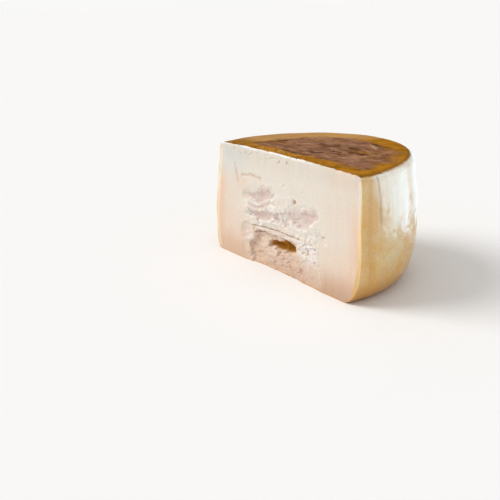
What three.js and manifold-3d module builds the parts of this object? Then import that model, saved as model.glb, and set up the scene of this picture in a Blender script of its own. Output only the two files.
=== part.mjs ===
// A wheel of hard cheese, cut down one side and partly broken open.
//
// The wheel is one piece: rind and paste grew together, so it is one mesh. Its flank bellies out
// and tucks under at the foot. Its top is almost flat, has a rounded shoulder and has sunk a little
// at the front right. A little more than half of the wheel is left, on the far side of one upright
// cut. The rim of the cut is smooth. Its middle was prised apart, which left shallow shells, a
// ledge and one deep hollow.
//
// Millimetres, +Z up. The wheel stands on z = 0, the cut faces -Y, and the origin is the middle
// of the footprint of the bounding box.

import * as THREE from "three";
import { mergeVertices } from "three/addons/utils/BufferGeometryUtils.js";
import Module from "manifold-3d";

// ---- Driving dimensions ----

const HEIGHT = 121; // to the crown of the top
const CROWN = 1; // how far the top stands above its own rim
const SAG = 2; // how far the top has sunk at its front right
const CUT_OFFSET = 27; // how far the cut stands in front of the wheel's axis

// The section isn't the same all round: the wheel settled to its left while it was young.
// foot: the radius that touches the table, how far the curve runs out along the table (swing), and
// the height below which it curves in to the foot (rise).
// belly: the widest radius, its height, and how far above it the flank stays upright (reach).
// shoulder: the radius where the flank meets the rounding to the top, how far below the rim of the
// top that is (drop), and how far in from it the top begins (round).
const RIGHT_SECTION = {
  foot: { radius: 90, swing: 13, rise: 16 },
  belly: { radius: 112, height: 52, reach: 26 },
  shoulder: { radius: 107, drop: 8, round: 9 },
};
const LEFT_SECTION = {
  foot: { radius: 107, swing: 5, rise: 8 },
  belly: { radius: 114, height: 30, reach: 30 },
  shoulder: { radius: 101.5, drop: 6, round: 7 },
};
const OUT_OF_ROUND = 0.8; // a three-lobed unevenness of the girth

// Beside the cut's right end the shoulder never rounded off, and stands squarer than elsewhere.
const CORNER = {
  fadesBehind: [-12, 14], // degrees round from the right, over which it fades out
  fadesInFront: [-90, -60], // the same in front of the cut, where nothing of it is left
  out: 0.032, // how much further the shoulder reaches, as a share of its radius
  growsOut: [70, 112], // over which heights it comes to that
  up: 0.4, // how much of the drop from the rim is missing
  growsUp: [90, 112],
};

const FLANK_LEAN = 1.5; // how far the flank still leans in just below the shoulder
const FLANK_PULL = 13; // over what height it does so

const RADIAL_STEPS = 96;
const CURVE_STEPS = 9; // points along each curved stretch of the outline

// The slab that broke away below the ledge: its outline on the cut face, seen from the front,
// as x from the wheel's axis and z from the table.
const LEDGE_HEIGHT = 41;
const SLAB_DEPTH = 5.5;
const SLAB_TILT = THREE.MathUtils.degToRad(4); // deeper under the ledge than at the foot
const SLAB_OUTLINE = [
  [-52, LEDGE_HEIGHT - 2],
  [-22, LEDGE_HEIGHT + 1],
  [12, LEDGE_HEIGHT],
  [34, LEDGE_HEIGHT - 1],
  [50, 31],
  [57, 17],
  [46, -6],
  [-56, -6],
  [-62, 12],
  [-60, 27],
];

// Hollows that the break scooped out: centre on the cut face, half sizes, and the turn in its plane.
const SCOOPS = [
  { at: [1, 62], half: [54, 12], depth: 3.6, turn: 7 }, // long shell at mid height
  { at: [-26, 78], half: [36, 9], depth: 2.6, turn: -4 }, // smaller shell above it
  { at: [-4, 28.5], half: [21, 7.5], depth: 17, turn: -3 }, // deep hollow under the ledge
];

// ---- Helpers ----

const wasm = await Module();
wasm.setup();

// A closed three.js geometry as a solid that can be cut.
function toSolid(geometry) {
  const bare = geometry.clone();
  bare.deleteAttribute("normal");
  bare.deleteAttribute("uv");
  const merged = mergeVertices(bare, 1e-3);
  return new wasm.Manifold(
    new wasm.Mesh({
      numProp: 3,
      vertProperties: merged.attributes.position.array,
      triVerts: new Uint32Array(merged.index.array),
    }),
  );
}

// A cut solid as a three.js geometry.
function toGeometry(solid) {
  const { vertProperties, triVerts } = solid.getMesh();
  const geometry = new THREE.BufferGeometry();
  geometry.setAttribute("position", new THREE.BufferAttribute(vertProperties, 3));
  geometry.setIndex(new THREE.BufferAttribute(triVerts, 1));
  geometry.computeVertexNormals();
  return geometry;
}

// ---- The whole wheel ----

// Half of the wheel's section, from the middle of the foot up the flank to the middle of the top.
function outlineOf({ foot, belly, shoulder }) {
  const rim = HEIGHT - CROWN;
  const flankTop = rim - shoulder.drop;
  const curves = [
    new THREE.CubicBezierCurve(
      new THREE.Vector2(foot.radius, 0),
      new THREE.Vector2(foot.radius + foot.swing, 0),
      new THREE.Vector2(belly.radius, foot.rise),
      new THREE.Vector2(belly.radius, belly.height),
    ),
    new THREE.CubicBezierCurve(
      new THREE.Vector2(belly.radius, belly.height),
      new THREE.Vector2(belly.radius, belly.height + belly.reach),
      new THREE.Vector2(shoulder.radius + FLANK_LEAN, flankTop - FLANK_PULL),
      new THREE.Vector2(shoulder.radius, flankTop),
    ),
    new THREE.CubicBezierCurve(
      new THREE.Vector2(shoulder.radius, flankTop),
      new THREE.Vector2(shoulder.radius - 0.6, rim - 2),
      new THREE.Vector2(shoulder.radius - shoulder.round / 2, rim),
      new THREE.Vector2(shoulder.radius - shoulder.round, rim + 0.1),
    ),
    new THREE.QuadraticBezierCurve(
      new THREE.Vector2(shoulder.radius - shoulder.round, rim + 0.1),
      new THREE.Vector2(shoulder.radius / 2, HEIGHT),
      new THREE.Vector2(0, HEIGHT),
    ),
  ];
  const onCurves = curves.flatMap((curve, i) => curve.getPoints(CURVE_STEPS).slice(i ? 1 : 0));
  return [new THREE.Vector2(0, 0), ...onCurves];
}

// How much lower a point lies than on an even wheel: nothing at the foot, most at the top's front right.
function sunk(x, y, z) {
  const reach = Math.max(0, 0.85 * x - 0.5 * y) / RIGHT_SECTION.belly.radius;
  return SAG * (reach * (z / HEIGHT)) ** 2;
}

// A point of the outline, moved out and up where the corner stands squarer.
function squared(turn, radius, level) {
  const { smoothstep, radToDeg } = THREE.MathUtils;
  const degrees = radToDeg(turn);
  const behind = 1 - smoothstep(degrees, ...CORNER.fadesBehind);
  const near = behind * smoothstep(degrees, ...CORNER.fadesInFront);
  const below = Math.max(0, HEIGHT - CROWN - level);
  return [
    radius * (1 + CORNER.out * near * smoothstep(level, ...CORNER.growsOut)),
    level + CORNER.up * near * below * smoothstep(level, ...CORNER.growsUp),
  ];
}

// The right section turned about the axis, and blended to the left section where the wheel leans.
function wheel() {
  const right = outlineOf(RIGHT_SECTION);
  const left = outlineOf(LEFT_SECTION);
  const turned = new THREE.LatheGeometry(right, RADIAL_STEPS);
  turned.rotateX(Math.PI / 2);
  const place = turned.attributes.position;
  for (let i = 0; i < place.count; i++) {
    const row = i % right.length; // a lathe's vertices run along the outline, one turn at a time
    if (right[row].x === 0) continue; // the poles stay on the axis
    const turn = Math.atan2(place.getY(i), place.getX(i));
    const leftness = THREE.MathUtils.smoothstep(-Math.cos(turn), 0, 0.9);
    const section = right[row].clone().lerp(left[row], leftness);
    const even = section.x + OUT_OF_ROUND * Math.cos(3 * turn + 1);
    const [radius, level] = squared(turn, even, section.y);
    const x = radius * Math.cos(turn);
    const y = radius * Math.sin(turn);
    place.setXYZ(i, x, y, level - sunk(x, y, level));
  }
  return toSolid(turned);
}

// ---- What is gone from it ----

// Everything in front of the cut.
function frontHalf() {
  const side = 4 * LEFT_SECTION.belly.radius;
  const block = new THREE.BoxGeometry(side, side, side);
  block.translate(0, -CUT_OFFSET - side / 2, HEIGHT / 2);
  return toSolid(block);
}

// The slab below the ledge, with room in front of the cut face so that it cuts clean through.
function brokenSlab() {
  const room = 10;
  const outline = new THREE.Shape(SLAB_OUTLINE.map(([x, z]) => new THREE.Vector2(x, z)));
  const slab = new THREE.ExtrudeGeometry(outline, {
    depth: SLAB_DEPTH + room,
    bevelEnabled: false,
  });
  slab.rotateX(Math.PI / 2); // the outline's y becomes z, its depth runs to -Y
  slab.translate(0, SLAB_DEPTH, -LEDGE_HEIGHT);
  slab.rotateX(-SLAB_TILT);
  slab.translate(0, -CUT_OFFSET, LEDGE_HEIGHT);
  return toSolid(slab);
}

// One rounded hollow.
function scoop({ at: [x, z], half: [across, up], depth, turn }) {
  const ball = new THREE.SphereGeometry(1, 24, 12);
  ball.rotateX(Math.PI / 2);
  ball.scale(across, depth, up);
  ball.rotateY(THREE.MathUtils.degToRad(-turn));
  ball.translate(x, -CUT_OFFSET, z);
  return toSolid(ball);
}

// ---- The part ----

const piece = [frontHalf(), brokenSlab(), ...SCOOPS.map(scoop)].reduce(
  (left, gone) => left.subtract(gone),
  wheel(),
);

const cheese = new THREE.Mesh(
  toGeometry(piece),
  new THREE.MeshStandardMaterial({ color: 0xe9dccb, roughness: 0.6, metalness: 0 }),
);
cheese.name = "cheese_wheel";

const box = new THREE.Box3().setFromObject(cheese);
const middle = box.getCenter(new THREE.Vector3());
cheese.position.set(-middle.x, -middle.y, -box.min.z);

const part = new THREE.Group();
part.add(cheese);

export default part;
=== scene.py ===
"""Looks of a wheel of hard cheese, cut down one side and prised open in the middle of the cut.

The wheel is one piece of rind and paste. It is turned up ring by ring about its own axis, cut,
carved where the paste broke away, given its fine relief, and set down where the frame has it.
"""

import logging
import math
from collections.abc import Sequence
from dataclasses import dataclass, field
from enum import Enum
from typing import Any

import bpy
import numpy as np
from mathutils import Euler, Matrix, Vector, noise
from mathutils.bvhtree import BVHTree
from mathutils.geometry import interpolate_bezier


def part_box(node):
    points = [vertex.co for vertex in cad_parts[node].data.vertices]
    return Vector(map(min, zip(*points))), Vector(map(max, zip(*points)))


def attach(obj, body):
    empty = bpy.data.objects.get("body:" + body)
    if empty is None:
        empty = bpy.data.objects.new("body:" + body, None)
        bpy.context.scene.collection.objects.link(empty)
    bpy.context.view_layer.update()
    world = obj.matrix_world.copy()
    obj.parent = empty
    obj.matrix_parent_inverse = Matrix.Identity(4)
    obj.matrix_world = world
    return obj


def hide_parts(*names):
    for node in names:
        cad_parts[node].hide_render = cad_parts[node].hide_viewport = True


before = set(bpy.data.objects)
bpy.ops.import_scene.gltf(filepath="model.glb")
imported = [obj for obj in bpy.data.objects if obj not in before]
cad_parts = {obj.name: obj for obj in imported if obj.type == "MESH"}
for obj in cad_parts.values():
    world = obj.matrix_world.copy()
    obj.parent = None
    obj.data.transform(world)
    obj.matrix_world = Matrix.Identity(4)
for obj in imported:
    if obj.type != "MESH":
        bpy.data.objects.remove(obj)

log = logging.getLogger("cut_wheel")

MM = 0.001
NODE = "cheese_wheel"

Colour = tuple[float, float, float]


class Layer(Enum):
    """What the mesh remembers at each point, for the finish to read."""

    SKIN = "skin_mm"  # how far inside the whole wheel's skin, in millimetres
    RIND = "rind_share"  # the same, as a share of the rind's own thickness there
    UP = "skin_up"  # how far the nearest skin faces up, -1 to 1
    BROKEN = "broken"  # 1 where the paste was prised apart, 0 where a knife or the mould left it
    CRUMBLY = "crumbly"  # 1 along the lips where it crumbled
    DEPTH = "depth_mm"  # how far behind the cut, in millimetres
    STAIN = "stain"  # 1 along cracks, pits, pale scratches and the crease, -1 in dark gouges; in pits and the crease it is painted shade, along cracks partly painted shade


# ---- Numbers over many points ----


def ease(values: np.ndarray, low: float, high: float) -> np.ndarray:
    """Ramp smoothly from 0 at low to 1 at high.

    Args:
        values: the numbers to ramp.
        low: where the ramp is 0. It may be the larger one, and then the ramp falls.
        high: where the ramp is 1.

    Returns:
        One share for each value, 0 to 1.
    """
    share = np.clip((values - low) / (high - low), 0.0, 1.0)
    return share * share * (3.0 - 2.0 * share)


@dataclass(frozen=True)
class Lumps:
    """Smooth random lumps in space.

    size is the width of one lump along x, y and z, and seed picks one pattern out of many.
    """

    size: tuple[float, float, float]
    seed: int

    STEP = np.array((17.31, 31.77, 5.93))

    def placed(self, points: np.ndarray) -> np.ndarray:
        """Points in lump widths, moved to this seed's own part of space."""
        return points / np.array(self.size) + self.seed * self.STEP

    def at(self, points: np.ndarray) -> np.ndarray:
        """Value of the lumps at each point, about -1 to 1."""
        return np.array([noise.noise(Vector(p)) for p in self.placed(points)])


@dataclass(frozen=True)
class Folds(Lumps):
    """Thin creases between lumps."""

    def at(self, points: np.ndarray) -> np.ndarray:
        """1 along a crease, falling on both sides of it."""
        return 1.0 - np.abs(super().at(points)) * 2.0


@dataclass(frozen=True)
class Chips(Lumps):
    """Small tilted faces, as a crumbly paste breaks into. Each chip leans its own way."""

    def at(self, points: np.ndarray) -> np.ndarray:
        """Height of the chip at each point, about -1 to 1."""
        return np.array([self.height(Vector(p)) for p in self.placed(points)])

    @staticmethod
    def height(point: Vector) -> float:
        """Find the height of the chip that holds one point.

        Args:
            point: the place, in chip widths.

        Returns:
            The height there, about -1 to 1.
        """
        middle = noise.voronoi(point)[1][0]
        lean = noise.cell_vector(middle * 13.0) * 2.0 - Vector((1.0, 1.0, 1.0))
        return lean.dot(point - middle) + 0.5 * lean.z


@dataclass(frozen=True)
class Relief:
    """One layer of relief: a pattern, and how deep it goes, in millimetres."""

    pattern: Lumps
    depth: float
    crumbly_depth: float = 0.0  # how much deeper it goes where the paste crumbles

    def at(self, points: np.ndarray, crumbly: np.ndarray | float = 0.0) -> np.ndarray:
        """Depth of this layer at each point."""
        return (self.depth + self.crumbly_depth * crumbly) * self.pattern.at(points)


@dataclass(frozen=True)
class Shake:
    """A random shift of places on a face, in millimetres."""

    width: float  # of one lump of the shift
    most: float
    seed: int

    def shift(self, points: np.ndarray, which: int) -> np.ndarray:
        """How far each point moves along the first or the second direction of its face."""
        cube = (self.width, self.width, self.width)
        return self.most * Lumps(cube, self.seed + which).at(points)


class Face(Enum):
    """Faces that outlines are drawn on, each by the two axes that lie in it."""

    CUT = (0, 2)
    TOP = (0, 1)


def shaken(points: np.ndarray, face: Face, shakes: Sequence[Shake]) -> tuple[np.ndarray, np.ndarray]:
    """Shake places on a face, so that an outline drawn on them comes out ragged.

    Args:
        points: the vertices, in millimetres.
        face: the face that they lie on.
        shakes: the shifts, all of which are added.

    Returns:
        The shaken places along the face's two axes.
    """
    first, second = (points[:, axis].copy() for axis in face.value)
    for shake in shakes:
        first += shake.shift(points, 0)
        second += shake.shift(points, 1)
    return first, second


@dataclass(frozen=True)
class Stroke:
    """A groove along a line of points on one face, in millimetres from the wheel's axis."""

    path: tuple[tuple[float, float], ...]
    width: float
    depth: float

    def share(self, first: np.ndarray, second: np.ndarray) -> np.ndarray:
        """Find how much of the groove each place gets.

        Args:
            first: the places along the first axis of the face.
            second: the same along its second axis.

        Returns:
            1 on the line, falling to 0 a width away from it.
        """
        best = np.full(first.shape, np.inf)
        for (start_x, start_y), (end_x, end_y) in zip(self.path, self.path[1:]):
            dx, dy = end_x - start_x, end_y - start_y
            along = ((first - start_x) * dx + (second - start_y) * dy) / (dx * dx + dy * dy)
            along = np.clip(along, 0.0, 1.0)
            away = np.hypot(first - start_x - along * dx, second - start_y - along * dy)
            best = np.minimum(best, away)
        return ease(best, self.width, 0.0)


@dataclass(frozen=True)
class Scoop:
    """A rounded hollow in the cut, in millimetres from the wheel's axis and the table.

    With a lean of 0 it is even. With a lean of 1 it deepens slowly on its way down, and ends in a
    steep wall along its lower lip, as a flake leaves it that was prised off from above.
    """

    centre: tuple[float, float]
    half: tuple[float, float]
    depth: float = 1.0
    turn: float = 0.0  # degrees
    steep: float = 0.5  # 0.5 has the wall of an ellipsoid, 1 has a soft rim
    lean: float = 0.0

    LIP_WIDTH = 2.6

    def inside(self, across: np.ndarray, up: np.ndarray) -> tuple[np.ndarray, np.ndarray]:
        """Turn places into shares of the half sizes.

        Args:
            across: the places across the cut.
            up: their heights.

        Returns:
            The shares along the hollow, and over it.
        """
        angle = math.radians(self.turn)
        dx, dz = across - self.centre[0], up - self.centre[1]
        along = dx * math.cos(angle) + dz * math.sin(angle)
        over = dz * math.cos(angle) - dx * math.sin(angle)
        return along / self.half[0], over / self.half[1]

    def rim(self, across: np.ndarray, up: np.ndarray) -> np.ndarray:
        """How far out each place is: 0 at the centre and 1 on the rim."""
        return np.hypot(*self.inside(across, up))

    def sunk(self, across: np.ndarray, up: np.ndarray) -> np.ndarray:
        """Find the depth of the hollow.

        Args:
            across: the places across the cut.
            up: their heights.

        Returns:
            The depth at each.
        """
        _, over = self.inside(across, up)
        bowl = np.clip(1.0 - self.rim(across, up) ** 2, 0.0, 1.0) ** self.steep
        return self.depth * bowl * (1.0 - self.lean * ease(over, -0.5, 0.95))

    def lip(self, across: np.ndarray, up: np.ndarray) -> np.ndarray:
        """Find the lower lip of the hollow.

        Args:
            across: the places across the cut.
            up: their heights.

        Returns:
            1 along the lower lip, 0 away from it.
        """
        _, over = self.inside(across, up)
        wide = self.LIP_WIDTH / min(self.half)
        return ease(np.abs(self.rim(across, up) - 1.0), wide, 0.3 * wide) * ease(over, 0.35, -0.1)


@dataclass(frozen=True)
class Terraces:
    """Low steps, one behind the other, around the place where the paste was prised."""

    centre: tuple[float, float]
    squash: float  # above 1 the steps lie flatter than circles
    width: float
    rise: float
    wobbles: tuple[Relief, ...]  # how far the steps wander, in step widths

    SHARPNESS = 1.6

    def at(self, points: np.ndarray) -> np.ndarray:
        """Find the depth of the steps.

        Args:
            points: the vertices, in millimetres.

        Returns:
            The depth at each, 0 to the rise.
        """
        dx, dz = points[:, 0] - self.centre[0], points[:, 2] - self.centre[1]
        away = np.hypot(dx, self.squash * dz) / self.width
        away = away + sum(wobble.at(points) for wobble in self.wobbles)
        return self.rise * (away % 1.0) ** self.SHARPNESS


# ---- Meshes ----


def points_of(mesh: bpy.types.Mesh, what: str = "co") -> np.ndarray:
    """Read the places or normals of a mesh's vertices.

    Args:
        mesh: the mesh.
        what: "co" for places, "normal" for normals.

    Returns:
        One row for each vertex.
    """
    flat = np.zeros(len(mesh.vertices) * 3, np.float32)
    mesh.vertices.foreach_get(what, flat)
    return flat.reshape(-1, 3).astype(float)


def put_points(mesh: bpy.types.Mesh, points: np.ndarray) -> None:
    """Move a mesh's vertices to new places."""
    mesh.vertices.foreach_set("co", points.astype(np.float32).ravel())
    mesh.update()


def write_layer(mesh: bpy.types.Mesh, layer: Layer, values: np.ndarray) -> None:
    """Store one number at each vertex, under the layer's name."""
    attribute = mesh.attributes.new(layer.value, "FLOAT", "POINT")
    attribute.data.foreach_set("value", values.astype(np.float32))


def deselect_all() -> None:
    """Leave nothing selected, so that an operator acts only on what is picked next."""
    bpy.ops.object.select_all(action="DESELECT")


def pick(piece: bpy.types.Object) -> None:
    """Make one object the only selected one, and the active one.

    Args:
        piece: the object.
    """
    deselect_all()
    piece.select_set(True)
    bpy.context.view_layer.objects.active = piece


@dataclass(frozen=True)
class Section:
    """Half of the wheel's section on one side, from its foot up to its shoulder, in metres."""

    foot: float  # radius that touches the table
    foot_swing: float  # how far the curve runs out along the table before it climbs
    foot_rise: float  # how high it is when it first stands upright
    girth: float  # widest radius
    girth_height: float
    girth_reach: float  # how far above the widest place the flank still stands upright
    shoulder: float  # radius where the flank meets the rounding to the top
    shoulder_drop: float
    shoulder_round: float

    FLANK_LEAN = 1.5 * MM
    FLANK_PULL = 13 * MM

    def stations(self, height: float, crown: float, steps: int) -> list[Vector]:
        """Points along the section as (radius, 0, height), from the foot to the middle of the top.

        Args:
            height: the height of the middle of the top.
            crown: how much lower the rim of the top is.
            steps: the points on each of the four curves.

        Returns:
            The points, in order.
        """

        def at(radius: float, level: float) -> Vector:
            """One point of the section."""
            return Vector((radius, 0.0, level))

        rim = height - crown
        flank_top = rim - self.shoulder_drop
        top_edge = self.shoulder - self.shoulder_round
        corners = (
            (
                at(self.foot, 0.0),
                at(self.foot + self.foot_swing, 0.0),
                at(self.girth, self.foot_rise),
                at(self.girth, self.girth_height),
            ),
            (
                at(self.girth, self.girth_height),
                at(self.girth, self.girth_height + self.girth_reach),
                at(self.shoulder + self.FLANK_LEAN, flank_top - self.FLANK_PULL),
                at(self.shoulder, flank_top),
            ),
            (
                at(self.shoulder, flank_top),
                at(self.shoulder - 0.4 * self.FLANK_LEAN, rim - 0.25 * self.shoulder_drop),
                at(self.shoulder - self.shoulder_round / 2.0, rim),
                at(top_edge, rim + 0.1 * crown),
            ),
            (
                at(top_edge, rim + 0.1 * crown),
                at(top_edge * 2.0 / 3.0, rim + 0.7 * crown),
                at(top_edge / 3.0, height),
                at(0.03 * self.shoulder, height),
            ),
        )
        points = [corners[0][0]]
        for curve in corners:
            points += interpolate_bezier(*curve, steps)[1:]
        return points


@dataclass(frozen=True)
class WholeWheel:
    """The wheel as it stood before it was cut, about its own axis."""

    height: float
    right: Section = Section(
        foot=90 * MM,
        foot_swing=13 * MM,
        foot_rise=16 * MM,
        girth=112 * MM,
        girth_height=52 * MM,
        girth_reach=26 * MM,
        shoulder=107 * MM,
        shoulder_drop=8 * MM,
        shoulder_round=9 * MM,
    )
    left: Section = Section(
        foot=107 * MM,
        foot_swing=5 * MM,
        foot_rise=8 * MM,
        girth=114 * MM,
        girth_height=30 * MM,
        girth_reach=30 * MM,
        shoulder=101.5 * MM,
        shoulder_drop=6 * MM,
        shoulder_round=7 * MM,
    )
    crown: float = 1 * MM
    sag: float = 2 * MM  # how far the top has sunk at its front right
    out_of_round: float = 0.8 * MM
    corner_out: float = 0.032  # how much further the shoulder reaches at the cut's right end
    corner_up: float = 0.4  # and how much of its drop is missing there
    around: int = 256
    steps: int = 12

    def turn(self) -> bpy.types.Object:
        """Raise the wheel ring by ring from its foot, then let it settle.

        Returns:
            The whole wheel, about its own axis.
        """
        rings = self.right.stations(self.height, self.crown, self.steps)
        deselect_all()
        bpy.ops.mesh.primitive_circle_add(
            vertices=self.around, radius=rings[0].x, fill_type="NGON", location=(0.0, 0.0, 0.0)
        )
        wheel = bpy.context.object
        bpy.ops.object.mode_set(mode="EDIT")
        bpy.ops.mesh.select_all(action="SELECT")
        for lower, upper in zip(rings, rings[1:]):
            bpy.ops.mesh.extrude_region_move(
                TRANSFORM_OT_translate={"value": (0.0, 0.0, upper.z - lower.z)}
            )
            spread = upper.x / lower.x
            bpy.ops.transform.resize(
                value=(spread, spread, 1.0), center_override=(0.0, 0.0, upper.z)
            )
        bpy.ops.mesh.select_all(action="SELECT")
        bpy.ops.mesh.normals_make_consistent(inside=False)
        bpy.ops.object.mode_set(mode="OBJECT")
        self.settle(wheel.data)
        return wheel

    def settle(self, mesh: bpy.types.Mesh) -> None:
        """Blend the right section into the left, and make the wheel a little out of round.

        Args:
            mesh: the wheel as it was turned from its right section.
        """
        points = points_of(mesh)
        radius = np.hypot(points[:, 0], points[:, 1])
        turn = np.arctan2(points[:, 1], points[:, 0])
        right, left = (
            np.array([(p.x, p.z) for p in side.stations(self.height, self.crown, self.steps)])
            for side in (self.right, self.left)
        )
        apart = np.hypot(radius[:, None] - right[:, 0], points[:, 2, None] - right[:, 1])
        ring = apart.argmin(axis=1)
        leftness = ease(-np.cos(turn), 0.0, 0.9)[:, None]
        section = right[ring] * (1.0 - leftness) + left[ring] * leftness
        outer = np.clip(radius / self.right.shoulder * 3.0, 0.0, 1.0)
        radius = section[:, 0] + outer * self.out_of_round * np.cos(3.0 * turn + 1.0)
        radius, level = self.squared(turn, radius, section[:, 1])
        across, back = radius * np.cos(turn), radius * np.sin(turn)
        reach = np.clip(0.85 * across - 0.5 * back, 0.0, None) / self.right.girth
        level = level - self.sag * (reach * level / self.height) ** 2
        put_points(mesh, np.stack([across, back, level], axis=-1))

    def squared(
        self, turn: np.ndarray, radius: np.ndarray, level: np.ndarray
    ) -> tuple[np.ndarray, np.ndarray]:
        """Square up the shoulder beside the cut's right end, where it never rounded off.

        Args:
            turn: each point's turn about the axis, in radians.
            radius: its distance from the axis.
            level: its height.

        Returns:
            The new radius and height.
        """
        degrees = np.degrees(turn)
        near = ease(degrees, 14.0, -12.0) * ease(degrees, -90.0, -60.0)
        radius = radius * (1.0 + self.corner_out * near * ease(level, 70 * MM, 112 * MM))
        below = np.clip(self.height - self.crown - level, 0.0, None)
        return radius, level + self.corner_up * near * below * ease(level, 90 * MM, 112 * MM)


@dataclass(frozen=True)
class Skin:
    """The whole wheel's outside, to measure how deep a point lies inside it."""

    tree: BVHTree
    flank_rind: float = 3.8  # millimetres of rind behind the flank
    top_rind: float = 0.7  # and under the top

    @classmethod
    def of(cls, wheel: bpy.types.Object) -> "Skin":
        """Take the skin of a wheel that is still whole.

        Args:
            wheel: the wheel.

        Returns:
            Its skin.
        """
        mesh = wheel.data
        corners = [v.co.copy() for v in mesh.vertices]
        return cls(BVHTree.FromPolygons(corners, [p.vertices[:] for p in mesh.polygons]))

    def measure(self, points: np.ndarray) -> tuple[np.ndarray, np.ndarray]:
        """Measure points against the skin.

        Args:
            points: places, one row each.

        Returns:
            How far each is from the skin, in millimetres, and how far the skin there faces up.
        """
        hits = [self.tree.find_nearest(Vector(p)) for p in points]
        away = np.array([hit[3] for hit in hits]) / MM
        up = np.array([hit[1].z for hit in hits])
        return away, up

    def rind_share(self, away: np.ndarray, up: np.ndarray) -> np.ndarray:
        """Depth as a share of the rind's thickness, which is thin under the top and the foot."""
        level = ease(np.abs(up), 0.25, 0.85)
        return away / (self.flank_rind * (1.0 - level) + self.top_rind * level)


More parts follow.
